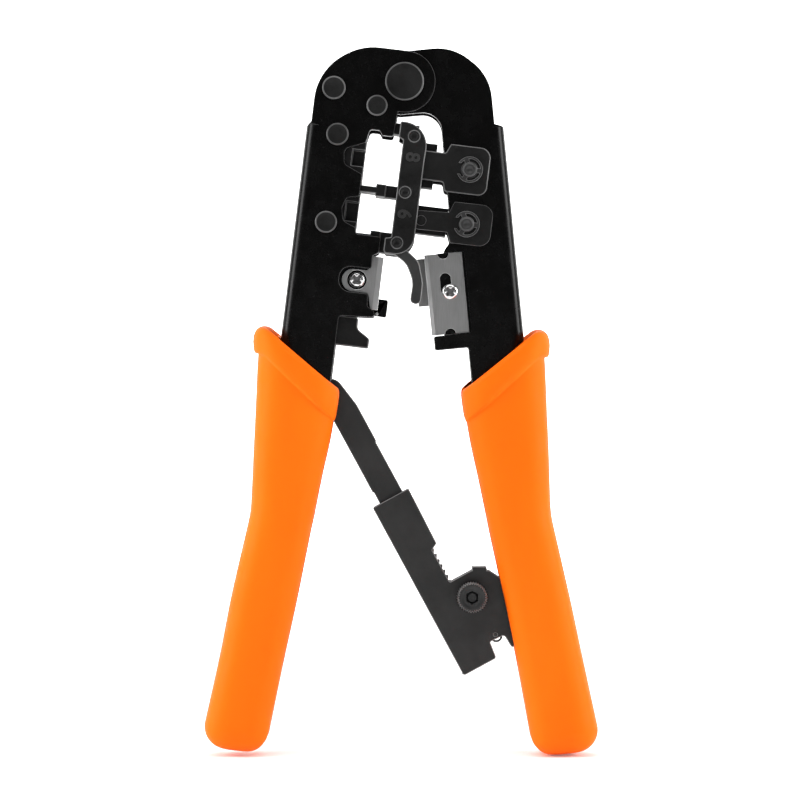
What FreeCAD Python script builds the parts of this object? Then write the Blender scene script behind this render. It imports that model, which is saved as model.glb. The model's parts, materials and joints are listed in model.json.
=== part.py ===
"""Ratchet crimping tool for modular plugs.

X runs to the right handle, Z up, and the front faces -Y. Each handle is drawn upright in its own
plane with the main pivot at the origin, and then leaned about the pivot to its open position.
The finished tool is lifted so that its origin is under the middle of its overall box.
"""

import FreeCAD, Part
import math
import os

V = FreeCAD.Vector

# Driving dimensions, millimetres and degrees
LEFT_LEAN = 7.0  # open position of the left handle, bottom outward
RIGHT_LEAN = 5.5  # open position of the right handle, bottom outward
OUTER_HALF = 8.2  # half width over the left cheeks
SHEET = 2.0  # left cheek thickness
INNER_HALF = 6.0  # half width over the right cheeks
INNER_SHEET = 1.8  # right cheek thickness
CORE_HALF = 4.0  # half width of the parts between the right cheeks
WEB_X = 26.0  # outer face of the left web
RIGHT_WEB_X = 26.8  # outer face of the right web
WEB_TOP = -15.0  # both webs start here
TANG_END = -158.0  # lower end of both channels inside the grips
BEND = 3.6  # outer radius of the pressed bends

PIVOT_HEAD = 5.5
PIVOT_SHANK = 4.0
FIT = 0.05  # running clearance of pins in their holes, on the radius
RIVET_SHANK = 1.8
HEAD_HEIGHT = 0.9
FRAME_RIVETS = ((-19.6, -4.2, 3.35), (-6.9, -7.7, 3.0), (-17.0, -17.1, 3.2), (-17.2, -42.1, 3.15))
SPACER_RADII = (3.0, 2.5)  # tubes on the first two rivets
BOSS_RELIEF = 7.4  # radius of the moving boss where it passes the second spacer

NEST_WALL = -8.6  # wall that the latch side of a plug rests on
NOTCH_END = -4.4  # the wider mouth beside the nest wall ends here
DIE_TOP = -11.6
NEST_8 = (-29.5, -14.9)  # lower and upper edges of the 8-way window
NOTCH_8 = (-30.4, -13.8)
NEST_6 = (-42.8, -33.0)
NOTCH_6 = (-43.9, -32.2)
DIE_BOTTOM = -48.7
LATCH_POCKETS = ((-25.2, -20.6), (-40.9, -35.4))  # recesses for the plugs' latches
LATCH_FLOOR = 2.2
ARM_END = 5.8

LINK_OUT = 8.05  # outer face of the link plates
BRIDGE_IN = 8.3
BRIDGE_OUT = 10.4
POSTS = ((4.6, -15.2), (3.95, -31.2), (3.4, -45.6))
POST_RADIUS = 1.5

RAM_PIN = 2.1
PUNCH_PIN = 1.4
PIN_8 = (21.3, -22.5)  # link hinges on the right handle, in the left handle's plane
PIN_6 = (22.3, -37.9)
QUILL_8 = (6.6, -22.6)  # hinges between links and punches
QUILL_6 = (9.4, -38.4)
OPEN_PIVOT_GAP = 0.35  # clearance of the punch holes round their pins

BAR_TILT = 28.5  # lean of the ratchet bar from the vertical
BAR_HINGE = (-24.5, -88.0)
BAR_WIDTH = 7.7
BAR_LENGTH = 66.0
BAR_HALF = 1.5
TOOTH_PITCH = 1.7
TOOTH_DEPTH = 0.8
TOOTH_COUNT = 7
HOUSING_START = 36.0  # distance from the bar's hinge to the housing's mouth
HOUSING_LENGTH = 54.3
HOUSING_WIDTH = 10.0
HOUSING_IN = 2.0
HOUSING_OUT = 3.2
HOUSING_HINGE = (45.4, 20.5)
ANCHOR = (11.9, -48.3)  # spring anchor, across and along the housing
ANCHOR_RADIUS = 0.5
LOOP_RADIUS = 1.5  # end loop of the pawl spring
PAWL_WIRE = 0.3
KNOB = (35.6, 11.2)
KNOB_SHAFT = 1.0
SMALL_PIN = 1.5

GRIP_HALF = 11.2  # half depth of the grips
COLLAR_STEP = 1.8  # how far the collar stands out
COLLAR_HALF = 12.9  # half depth over the collar, flat at the front and rear
SLOT_HALF = 6.25  # half width of the slot on the inner side of each grip

BLADE_THICK = 0.8
CUTTER_Y = -5.0  # front face of the cutter blade
LEFT_BLADE_Y = -6.0
REAR_BLADE_Y = 4.15


def corner_arc(before, corner, after, radius):
    """Tangent points and middle of the arc that rounds one corner."""
    a = (V(*before) - V(*corner)).normalize()
    b = (V(*after) - V(*corner)).normalize()
    half = a.getAngle(b) / 2
    back = radius / math.tan(half)
    middle = V(*corner) + (a + b).normalize() * (radius / math.sin(half) - radius)
    return V(*corner) + a * back, middle, V(*corner) + b * back


def outline(points):
    """Closed wire in the XZ plane through (x, z) corners, or (x, z, radius) for a rounded corner."""
    corners = [(p[0], 0, p[1]) for p in points]
    radii = [p[2] if len(p) > 2 else 0 for p in points]
    count = len(points)
    edges = []
    ends = []
    for i in range(count):
        if radii[i]:
            ends.append(corner_arc(corners[i - 1], corners[i], corners[(i + 1) % count], radii[i]))
        else:
            ends.append((V(*corners[i]), None, V(*corners[i])))
    for i in range(count):
        start, middle, finish = ends[i]
        if middle is not None:
            edges.append(Part.Arc(start, middle, finish).toShape())
        after = ends[(i + 1) % count][0]
        if finish.distanceToPoint(after) > 1e-6:
            edges.append(Part.makeLine(finish, after))
    return Part.Wire(edges)


def plate(points, y_from, y_to):
    face = Part.Face(outline(points))
    face.translate(V(0, y_from, 0))
    return face.extrude(V(0, y_to - y_from, 0))


def rod(x, z, radius, y_from, y_to):
    return Part.makeCylinder(radius, y_to - y_from, V(x, y_from, z), V(0, 1, 0))


def block(x_from, x_to, y_from, y_to, z_from, z_to):
    return Part.makeBox(x_to - x_from, y_to - y_from, z_to - z_from, V(x_from, y_from, z_from))


def fused(shapes):
    whole = shapes[0]
    for shape in shapes[1:]:
        whole = whole.fuse(shape)
    return whole.removeSplitter()


def turned(shape, degrees, x=0.0, z=0.0):
    """Copy turned about the Y axis through (x, z), positive from +Z towards +X."""
    copy = shape.copy()
    copy.rotate(V(x, 0, z), V(0, 1, 0), degrees)
    return copy


def left_placed(shape):
    return turned(shape, LEFT_LEAN)


def right_placed(shape):
    return turned(shape, -RIGHT_LEAN)


def left_to_right(x, z):
    """A point of the left handle's plane, in the right handle's plane."""
    angle = math.radians(LEFT_LEAN + RIGHT_LEAN)
    return (
        x * math.cos(angle) + z * math.sin(angle),
        -x * math.sin(angle) + z * math.cos(angle),
    )


PIECES = {}


def save(name, shapes):
    shapes = shapes if isinstance(shapes, list) else [shapes]
    PIECES[name] = shapes[0] if len(shapes) == 1 else Part.makeCompound(shapes)


def origin_under_tool():
    """The point under the middle of the tool's overall box, before it is lifted."""
    box = FreeCAD.BoundBox()
    for shape in PIECES.values():
        box.add(shape.BoundBox)
    return V((box.XMin + box.XMax) / 2, 0, box.ZMin)


def both_sides(shape):
    return [shape, shape.mirror(V(0, 0, 0), V(0, 1, 0))]


# ---------------------------------------------------------------- frames


def channel(silhouette, web_x, half, sheet):
    """Pressed U channel cut to the silhouette: two cheeks, joined by a web below WEB_TOP.

    web_x is signed, and the channel opens towards the tool's middle.
    """
    side = math.copysign(1, web_x)
    depth = abs(web_x) + 15
    section = [
        (side * abs(web_x), -half, BEND),
        (side * abs(web_x), half, BEND),
        (side * (abs(web_x) - depth), half),
        (side * (abs(web_x) - depth), half - sheet),
        (side * (abs(web_x) - sheet), half - sheet, BEND - sheet),
        (side * (abs(web_x) - sheet), -half + sheet, BEND - sheet),
        (side * (abs(web_x) - depth), -half + sheet),
        (side * (abs(web_x) - depth), -half),
    ]
    wire = outline(section)
    wire.rotate(V(0, 0, 0), V(1, 0, 0), 90)
    wire.translate(V(0, 0, WEB_TOP))
    length = WEB_TOP - TANG_END
    bent = Part.Face(wire).extrude(V(0, 0, -length))
    lower = bent.common(plate(silhouette, -half, half))
    above = block(-60, 60, -half, half, WEB_TOP, 40)
    cheeks = [plate(silhouette, y, y + sheet).common(above) for y in (-half, half - sheet)]
    return fused([lower] + cheeks)


LEFT_SILHOUETTE = (
    (-13.0, 8.7, 16),
    (-24.8, 0.6, 16),
    (-24.8, WEB_TOP + 0.6),
    (-WEB_X, WEB_TOP - 0.6),
    (-WEB_X, TANG_END),
    (-17.0, TANG_END),
    (-13.6, -118.0),
    (-12.6, -96.0, 4.0),
    (-10.4, -92.5, 4.0),
    (-10.4, -67.9, 1.0),
    (-0.2, -67.2, 0.8),
    (-0.7, -65.4, 0.8),
    (-2.7, -64.4, 0.8),
    (-3.0, -60.8, 0.8),
    (-11.6, -60.8, 3.2),
    (-11.6, -53.7, 3.2),
    (-2.9, -53.7, 0.6),
    (-3.0, -50.0, 0.8),
    (-1.3, -48.9, 0.8),
    (-1.4, -44.4, 0.8),
    (-8.4, -44.4, 0.8),
    (-8.8, -42.6, 0.6),
    (-12.4, -41.2, 1.6),
    (-13.2, -37.6, 2.0),
    (-12.2, -34.5, 1.4),
    (-8.8, -33.8, 0.6),
    (-8.7, -27.5, 0.8),
    (-14.0, -25.2, 1.4),
    (-14.6, -21.0, 1.8),
    (-8.8, -18.5, 0.6),
    (-8.0, -14.6, 1.0),
    (-5.3, -14.6, 0.6),
    (-4.4, -15.9),
    (-1.3, -15.9, 0.8),
    (-0.8, -8.7),
    (8.7, -8.7, 8.5),
    (8.7, 8.7, 8.5),
)


def left_frame():
    frame = channel(LEFT_SILHOUETTE, -WEB_X, OUTER_HALF, SHEET)
    frame = frame.cut(rod(0, 0, PIVOT_SHANK, -20, 20))
    for x, z, head in FRAME_RIVETS:
        frame = frame.cut(rod(x, z, RIVET_SHANK, -20, 20))
    return frame.cut(rod(*bar_hinge_local(), SMALL_PIN, -20, 20))


def bar_hinge_local():
    """The ratchet bar's hinge in the left handle's own plane."""
    angle = math.radians(LEFT_LEAN)
    x, z = BAR_HINGE
    return (
        x * math.cos(angle) - z * math.sin(angle),
        x * math.sin(angle) + z * math.cos(angle),
    )


RIGHT_SILHOUETTE = (
    (-8.0, 8.0, 7.9),
    (3.0, 8.7, 20),
    (14.5, 8.7, 14),
    (24.2, -0.5, 14),
    (24.2, WEB_TOP + 0.8),
    (RIGHT_WEB_X, WEB_TOP - 0.2),
    (RIGHT_WEB_X, TANG_END),
    (15.4, TANG_END),
    (15.0, -146.0),
    (13.4, -125.0),
    (12.4, -98.0, 4.0),
    (10.9, -94.0, 4.0),
    (10.9, -76.4, 0.6),
    (1.4, -76.4, 0.6),
    (1.4, -72.5, 0.4),
    (12.2, -72.4, 0.8),
    (12.2, -49.1, 0.6),
    (6.3, -49.1),
    (6.8, -48.2, 0.5),
    (8.2, -46.6, 1.0),
    (9.1, -37.0, 8.0),
    (9.3, -9.1, 5.5),
    (-2.0, -9.0, 2.0),
    (-6.4, -8.0, 4.0),
    (-8.0, 0.0),
)


def housing_point(s, t):
    """Point of the ratchet housing: s along the bar from the mouth, t across it, in world X and Z."""
    angle = math.radians(BAR_TILT)
    along = HOUSING_START + s
    across = t - 0.45
    x = BAR_HINGE[0] + along * math.sin(angle) + across * math.cos(angle)
    z = BAR_HINGE[1] - along * math.cos(angle) + across * math.sin(angle)
    return x, z


def housing_hinge_local():
    """The housing's hinge in the right handle's own plane."""
    angle = math.radians(RIGHT_LEAN)
    x, z = housing_point(*HOUSING_HINGE)
    return (
        x * math.cos(angle) + z * math.sin(angle),
        -x * math.sin(angle) + z * math.cos(angle),
    )


def right_frame():
    frame = channel(RIGHT_SILHOUETTE, RIGHT_WEB_X, INNER_HALF, INNER_SHEET)
    frame = frame.cut(rod(0, 0, PIVOT_SHANK + FIT, -20, 20))
    # The left handle's rivet spacer sweeps past the boss.
    relief = tube(0, 0, 14, BOSS_RELIEF, 20).common(block(-16, -3.4, -20, 20, -16, -1.6))
    frame = frame.cut(relief)
    for point in (PIN_8, PIN_6):
        x, z = left_to_right(*point)
        frame = frame.cut(rod(x, z, RAM_PIN, -20, 20))
    return frame.cut(rod(*housing_hinge_local(), SMALL_PIN, -20, 20))


# ---------------------------------------------------------------- grips

# Height, middle and half width of each section, in the handle's own plane, for the left grip.
LEFT_SECTIONS = (
    (-66, -19.6, 12.6),
    (-98, -19.4, 11.5),
    (-125, -19.6, 9.5),
    (-150, -21.6, 9.6),
    (-172, -23.3, 9.5),
    (-186, -24.6, 9.7),
    (-191.5, -24.7, 8.0),
    (-194.2, -24.5, 4.6),
)
RIGHT_SECTIONS = (
    (-66, 20.2, 12.6),
    (-98, 20.0, 11.6),
    (-126, 20.6, 9.3),
    (-150, 23.3, 9.3),
    (-172, 25.7, 9.5),
    (-186, 27.1, 9.8),
    (-191.5, 27.4, 8.2),
    (-194.0, 27.3, 4.8),
)


def grip_section(height, middle, half, depth):
    radius = min(half, depth) * 0.72
    points = [
        (middle - half, -depth, radius),
        (middle + half, -depth, radius),
        (middle + half, depth, radius),
        (middle - half, depth, radius),
    ]
    wire = outline(points)
    wire.rotate(V(0, 0, 0), V(1, 0, 0), 90)
    wire.translate(V(0, 0, height))
    return wire


def grip_body(sections, extra):
    """Loft of rounded sections. extra is added all round, for the collar."""
    wires = []
    for height, middle, half in sections:
        tip = half / 9.6 if height < -187 else 1.0
        wires.append(grip_section(height, middle, half + extra, GRIP_HALF * tip + extra))
    return Part.makeLoft(wires, True, True)


def slanted_slab(side, z_top, z_bottom):
    """Region between two planes that fall towards the middle. side is -1 for the left grip."""
    slope = math.tan(math.radians(35))
    outer = side * 60
    points = [
        (0, z_top - slope * 32.5),
        (outer, z_top + slope * 27.5),
        (outer, z_bottom + slope * 27.5),
        (0, z_bottom - slope * 32.5),
    ]
    return plate(points, -40, 40)


def grip(sections, side, web_x, half, opening):
    """Moulded sleeve with a rolled collar, a pocket for the tang and an open slot on its inner side."""
    body = grip_body(sections, 0).common(slanted_slab(side, -73.2, -400))
    collar = grip_body(sections[:3], COLLAR_STEP).common(slanted_slab(side, -72.0, -79.6))
    collar = collar.common(block(-60, 60, -COLLAR_HALF, COLLAR_HALF, -200, 0))
    sleeve = fused([body, collar])
    pocket = [side * abs(web_x), side * 9.0]
    sleeve = sleeve.cut(block(min(pocket), max(pocket), -half, half, TANG_END, -40))
    slot = [side * (abs(web_x) - 4), 0]
    sleeve = sleeve.cut(block(min(slot), max(slot), -opening, opening, TANG_END - 18, -40))
    return sleeve


# ---------------------------------------------------------------- die, bridges and stops


def die_block():
    spine = block(-WEB_X + 3.2, -1.6, -6.15, 6.15, DIE_BOTTOM, DIE_TOP)
    arms = block(-1.6, ARM_END, -CORE_HALF, CORE_HALF, DIE_BOTTOM, DIE_TOP)
    die = fused([spine, arms])
    for nest, notch in ((NEST_8, NOTCH_8), (NEST_6, NOTCH_6)):
        die = die.cut(block(NEST_WALL, 20, -20, 20, *nest))
        die = die.cut(block(NEST_WALL, NOTCH_END, -20, 20, *notch))
    for low, high in LATCH_POCKETS:
        for y in (LATCH_FLOOR, -LATCH_FLOOR - 10):
            die = die.cut(block(-12.2, NEST_WALL + 1, y, y + 10, low, high))
    for x, z, head in FRAME_RIVETS[len(SPACER_RADII):]:
        die = die.cut(rod(x, z, RIVET_SHANK, -20, 20))
    return die


BRIDGE = (
    (0.3, -11.4, 0.5),
    (8.7, -11.4, 6.8),
    (8.3, -22.0, 20.0),
    (8.2, -48.9, 5.4),
    (-0.1, -48.9, 1.0),
    (-0.1, -44.6, 0.5),
    (1.6, -44.2, 0.4),
    (1.6, -16.5, 0.4),
    (0.3, -16.0, 0.4),
)


def bridge():
    body = plate(BRIDGE, -BRIDGE_OUT, -BRIDGE_IN)
    for x, z in POSTS:
        body = body.cut(rod(x, z, POST_RADIUS, -20, 20))
    return body


def posts():
    """Pins from the die's arms through the bridges, with centre-punched ends."""
    pins = []
    for x, z in POSTS:
        pin = rod(x, z, POST_RADIUS, -BRIDGE_OUT + 0.05, -CORE_HALF)
        dimple = Part.makeCone(1.2, 0, 0.8, V(x, -BRIDGE_OUT + 0.05, z), V(0, 1, 0))
        pins += both_sides(pin.cut(dimple))
    return pins


WIRE_STOP = (
    (2.0, -46.6, 0.5),
    (5.4, -46.6, 0.5),
    (10.2, -50.0, 5.0),
    (12.1, -56.0, 8.0),
    (12.1, -62.1, 1.45),
    (9.0, -62.1, 1.45),
    (9.2, -55.8, 8.0),
    (6.6, -51.0, 6.0),
    (2.0, -48.4, 0.5),
)


# ---------------------------------------------------------------- rivets, pins and springs


def domed(x, z, radius, y_seat, y_outer, rounding):
    """Disc from its seat to its outer face, with the outer rim rounded."""
    disc = rod(x, z, radius, min(y_seat, y_outer), max(y_seat, y_outer))
    rims = [
        e for e in disc.Edges if isinstance(e.Curve, Part.Circle) and abs(e.Curve.Center.y - y_outer) < 1e-6
    ]
    return disc.makeFillet(rounding, rims)


def headed(x, z, head, shank, face):
    """Rivet through the cheeks with a low head on each side."""
    body = rod(x, z, shank, -face - 0.1, face + 0.1)
    heads = [
        domed(x, z, head, -face, -face - HEAD_HEIGHT, 0.5),
        domed(x, z, head, face, face + HEAD_HEIGHT, 0.5),
    ]
    return fused([body] + heads)


def tube(x, z, outer, inner, half):
    return rod(x, z, outer, -half, half).cut(rod(x, z, inner, -half - 1, half + 1))


SPRING_WIRE = 0.7
SPRING_COIL = 6.9
SPRING_TURNS = 3
SPRING_LEG = 5.6


def coil(radius, wire, pitch, turns, steps, leg=0):
    """Round wire wound about the Z axis from z = 0, in short straights, with an optional straight leg."""
    path = []
    for i in range(steps * turns + 1):
        angle = 2 * math.pi * i / steps
        path.append(V(radius * math.cos(angle), radius * math.sin(angle), pitch * i / steps))
    if leg:
        path.append(path[-1] + V(0, leg, 0))
    profile = Part.Wire(Part.makeCircle(wire, path[0], path[1] - path[0]))
    mitred = 1
    return Part.makePolygon(path).makePipeShell([profile], True, False, mitred)


def return_spring():
    """Coil round the pivot spacer, with its upper leg left straight."""
    pitch = 2 * SPRING_WIRE + 0.15
    body = coil(SPRING_COIL, SPRING_WIRE, pitch, SPRING_TURNS, 24, SPRING_LEG)
    body.translate(V(0, 0, -pitch * SPRING_TURNS / 2))
    body.rotate(V(0, 0, 0), V(1, 0, 0), 90)
    return body


def clip(x, z, y_from, y_to):
    """E-clip open to the left: a thin ring with three lugs that reach the pin's groove."""
    ring = rod(x, z, 3.7, y_from, y_to).cut(rod(x, z, 3.0, y_from, y_to))
    for angle in (0, 115, -115):
        lug = turned(block(x + 1.8, x + 3.2, y_from, y_to, z - 0.7, z + 0.7), angle, x, z)
        ring = ring.fuse(lug)
    ring = ring.cut(block(x - 9, x - 1.6, y_from, y_to, z - 1.5, z + 1.5))
    return ring.removeSplitter()


def ram_pin(x, z):
    pin = rod(x, z, RAM_PIN, -9.1, 9.1)
    for y in (-8.75, 8.15):
        groove = rod(x, z, RAM_PIN + 1, y, y + 0.6).cut(rod(x, z, RAM_PIN - 0.35, y, y + 0.6))
        pin = pin.cut(groove)
    return pin


# ---------------------------------------------------------------- rams

LINK_8 = (
    (2.9, -18.6, 3.0),
    (14.0, -18.6, 0.6),
    (15.2, -15.9, 0.5),
    (26.8, -15.9, 3.0),
    (26.8, -29.5, 2.6),
    (14.9, -29.5, 1.0),
    (14.2, -26.9, 0.8),
    (2.9, -26.9, 3.0),
)
LINK_6 = (
    (6.8, -35.7, 2.4),
    (17.0, -35.2, 0.5),
    (18.2, -32.0, 0.6),
    (29.4, -31.9, 3.2),
    (29.4, -43.6, 3.2),
    (18.3, -43.7, 0.6),
    (17.1, -40.8, 0.6),
    (6.8, -41.0, 2.4),
)


def link(points, pin, quill):
    front = plate(points, -LINK_OUT, -INNER_HALF - 0.2)
    front = front.cut(rod(*pin, RAM_PIN + FIT, -20, 20))
    front = front.cut(rod(*quill, PUNCH_PIN, -20, 20))
    return both_sides(front)


def punch(face, back, z_low, z_high, flange, quill, ways):
    """Ram that slides in the die window, with one blunt tooth per contact on its face."""
    body = block(face, back, -CORE_HALF + 0.1, CORE_HALF - 0.1, z_low, z_high)
    if flange:
        body = body.fuse(block(back - 3, back, -CORE_HALF + 0.1, CORE_HALF - 0.1, *flange))
    pitch = 1.02
    first = (z_low + z_high) / 2 - pitch * (ways - 1) / 2
    for i in range(ways):
        z = first + i * pitch
        body = body.fuse(block(face - 0.9, face + 0.1, -1.2, 1.2, z - 0.22, z + 0.22))
    return body.cut(rod(*quill, PUNCH_PIN + OPEN_PIVOT_GAP, -20, 20)).removeSplitter()


# ---------------------------------------------------------------- blades


def screw(x, z, y_seat, direction, length):
    """Pan-head screw with a crossed recess. direction -1 points the head to the front."""
    height = 1.5
    outer = y_seat + direction * height
    head = domed(x, z, 2.35, y_seat, outer, 0.7)
    inner = y_seat - direction * length
    body = head.fuse(rod(x, z, 1.25, min(y_seat, inner), max(y_seat, inner)))
    floor = outer - direction * 1.1
    low, high = min(outer, floor), max(outer, floor)
    for wide, tall in ((1.45, 0.36), (0.36, 1.45)):
        body = body.cut(block(x - wide, x + wide, low, high, z - tall, z + tall))
    centre = block(x - 0.62, x + 0.62, low, high, z - 0.62, z + 0.62)
    return body.cut(turned(centre, 45, x, z))


def cutter_blade():
    x_from, x_to, z_low, z_high = 0.8, 11.5, -72.2, -49.3
    y_back = CUTTER_Y + BLADE_THICK
    blade = block(x_from, x_to, CUTTER_Y, y_back, z_low, z_high)
    middle = (x_from + x_to) / 2
    for z in (z_low, z_high):
        blade = blade.cut(rod(middle, z, 1.55, -20, 20))
    blade = blade.cut(rod(middle, -56.4, 1.55, -20, 20))
    blade = blade.cut(block(middle - 1.55, middle + 1.55, -20, 20, -60.3, -56.4))
    blade = blade.cut(rod(7.15, -60.3, 1.6, -20, 20))
    return blade.cut(bevel(x_from, CUTTER_Y, 1.3, z_low, z_high))


def bevel(x_edge, y_face, width, z_low, z_high):
    """Wedge that grinds a cutting edge at x_edge."""
    points = [V(x_edge - 0.1, y_face - 0.1, z_low), V(x_edge + width, y_face - 0.1, z_low)]
    points.append(V(x_edge - 0.1, y_face + BLADE_THICK * 0.8, z_low))
    wire = Part.makePolygon(points + [points[0]])
    return Part.Face(wire).extrude(V(0, 0, z_high - z_low))


LEFT_BLADE = (
    (0.25, -50.0),
    (0.25, -65.0),
    (-1.8, -65.0),
    (-3.0, -60.6, 1.0),
    (-10.8, -60.5, 3.1),
    (-10.8, -54.2, 3.1),
    (-3.6, -54.2, 1.0),
    (-2.9, -50.0),
)


def left_blade():
    y_back = LEFT_BLADE_Y + BLADE_THICK
    blade = plate(LEFT_BLADE, LEFT_BLADE_Y, y_back).cut(rod(-6.6, -57.2, 2.75, -20, 20))
    wedge = bevel(0.25, LEFT_BLADE_Y, 1.8, -66, -49).mirror(V(0.25, 0, 0), V(1, 0, 0))
    return blade.cut(wedge)


STRIP_ANVIL = (
    (-15.0, -67.9),
    (-4.9, -67.8, 0.6),
    (-4.9, -70.9, 2.0),
    (-1.1, -73.3, 0.5),
    (-1.1, -76.1, 0.5),
    (-15.0, -76.1),
)
WIRE_GAUGE = (
    (-3.0, -61.8),
    (2.9, -61.8, 0.6),
    (2.9, -66.8, 0.6),
    (0.9, -66.7),
    (-3.0, -66.7),
)


# ---------------------------------------------------------------- ratchet


def ratchet_bar():
    """Toothed bar drawn hanging straight down from its hinge, then leaned."""
    points = [
        (-1.2, 3.4, 1.5),
        (6.4, 1.8, 3.6),
        (BAR_WIDTH + 0.3, -8.0, 6.0),
        (BAR_WIDTH + 0.3, -19.6),
        (BAR_WIDTH, -20.2),
        (BAR_WIDTH, -BAR_LENGTH, 1.0),
        (0.3, -BAR_LENGTH, 1.0),
        (0.3, -32.6),
        (0.0, -32.0),
        (0.0, -8.0, 6.0),
        (-3.2, -1.5, 2.5),
    ]
    bar = plate(points, -BAR_HALF, BAR_HALF).cut(rod(0, 0, SMALL_PIN + FIT, -20, 20))
    for i in range(TOOTH_COUNT):
        low = -BAR_LENGTH + 1.4 + i * TOOTH_PITCH
        notch = [(BAR_WIDTH + 0.1, low), (BAR_WIDTH + 0.1, low + TOOTH_PITCH * 0.85), (BAR_WIDTH - TOOTH_DEPTH, low)]
        bar = bar.cut(plate(notch, -5, 5))
    return bar_placed(bar)


def bar_placed(shape):
    """Places a shape drawn hanging straight down with the bar's hinge at the origin."""
    copy = shape.copy()
    copy.rotate(V(0, 0, 0), V(0, 1, 0), -BAR_TILT)
    copy.translate(V(BAR_HINGE[0], 0, BAR_HINGE[1]))
    return copy


def housing_placed(shape):
    """Places a shape drawn with the housing's mouth corner at the origin, bar direction down."""
    copy = shape.copy()
    copy.translate(V(-0.45, 0, -HOUSING_START))
    return bar_placed(copy)


HOUSING_LEFT = -1.6  # outer face of the web
HOUSING_PLATE = (
    (HOUSING_LEFT, 0.0, 0.5),
    (HOUSING_WIDTH, 0.0, 0.5),
    (9.6, -17.6, 0.4),
    (7.6, -18.6, 0.4),
    (7.6, -29.0, 0.4),
    (14.6, -29.0, 1.2),
    (19.0, -31.4, 1.2),
    (24.2, -41.0, 3.0),
    (23.4, -52.6, 3.0),
    (14.2, -53.8, 0.5),
    (14.0, -49.6, 0.8),
    (9.6, -49.4, 0.4),
    (9.0, -HOUSING_LENGTH, 0.8),
    (HOUSING_LEFT, -HOUSING_LENGTH, 0.8),
)
STRAP = ((15.2, -28.1, 0.3), (18.9, -30.1, 0.3), (18.4, -31.4), (14.6, -29.4))


def ratchet_housing():
    """Folded channel: a web on the outer side of the bar and two cheeks with ears to the hinge."""
    cheeks = both_sides(plate(HOUSING_PLATE, -HOUSING_OUT, -HOUSING_IN))
    web = block(HOUSING_LEFT, HOUSING_LEFT + 1, -HOUSING_OUT, HOUSING_OUT, -HOUSING_LENGTH + 0.5, -0.5)
    body = fused(cheeks + [web, plate(STRAP, -HOUSING_OUT, HOUSING_OUT)])
    body = body.cut(rod(HOUSING_HINGE[1], -HOUSING_HINGE[0], SMALL_PIN + FIT, -20, 20))
    body = body.cut(rod(KNOB[1], -KNOB[0], KNOB_SHAFT + FIT, -20, 20))
    return body.cut(rod(*ANCHOR, ANCHOR_RADIUS, -20, 20))


def release_knob():
    """Knurled knob with a socket, on a shaft through the housing."""
    x, z = KNOB[1], -KNOB[0]
    knob = rod(x, z, 4.4, -9.2, -HOUSING_OUT - 0.2)
    knob = knob.cut(rod(x, z, 1.9, -9.3, -7.2))
    for i in range(24):
        angle = math.radians(i * 15)
        knob = knob.cut(rod(x + 4.5 * math.cos(angle), z + 4.5 * math.sin(angle), 0.28, -10, 0))
    return knob.fuse(rod(x, z, KNOB_SHAFT, -HOUSING_OUT - 0.3, HOUSING_OUT + 0.9))


def pawl():
    """Toothed cam on the knob's shaft that meets the bar's teeth."""
    x, z = KNOB[1], -KNOB[0]
    points = [
        (x - 1.7, z - 2.4, 0.8),
        (x + 2.6, z - 2.6, 1.8),
        (x + 2.4, z + 2.4, 1.8),
        (x - 1.8, z + 1.6, 0.3),
    ]
    body = plate(points, -HOUSING_IN + 0.2, HOUSING_IN - 0.2)
    tail = block(x - 0.8, x + 0.8, -0.6, 0.6, z - 5.4, z - 2.0)
    return body.fuse(tail).cut(rod(x, z, KNOB_SHAFT, -20, 20))


def pawl_spring():
    """Extension spring between the pawl's tail and the anchor."""
    body = coil(1.0, PAWL_WIRE, 1.1, 4, 16)
    body.translate(V(ANCHOR[0], 0, ANCHOR[1] + LOOP_RADIUS))
    loop = Part.makeTorus(LOOP_RADIUS, PAWL_WIRE, V(ANCHOR[0], 0, ANCHOR[1] - 0.65), V(0, 1, 0))
    return [body, loop]


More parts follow.
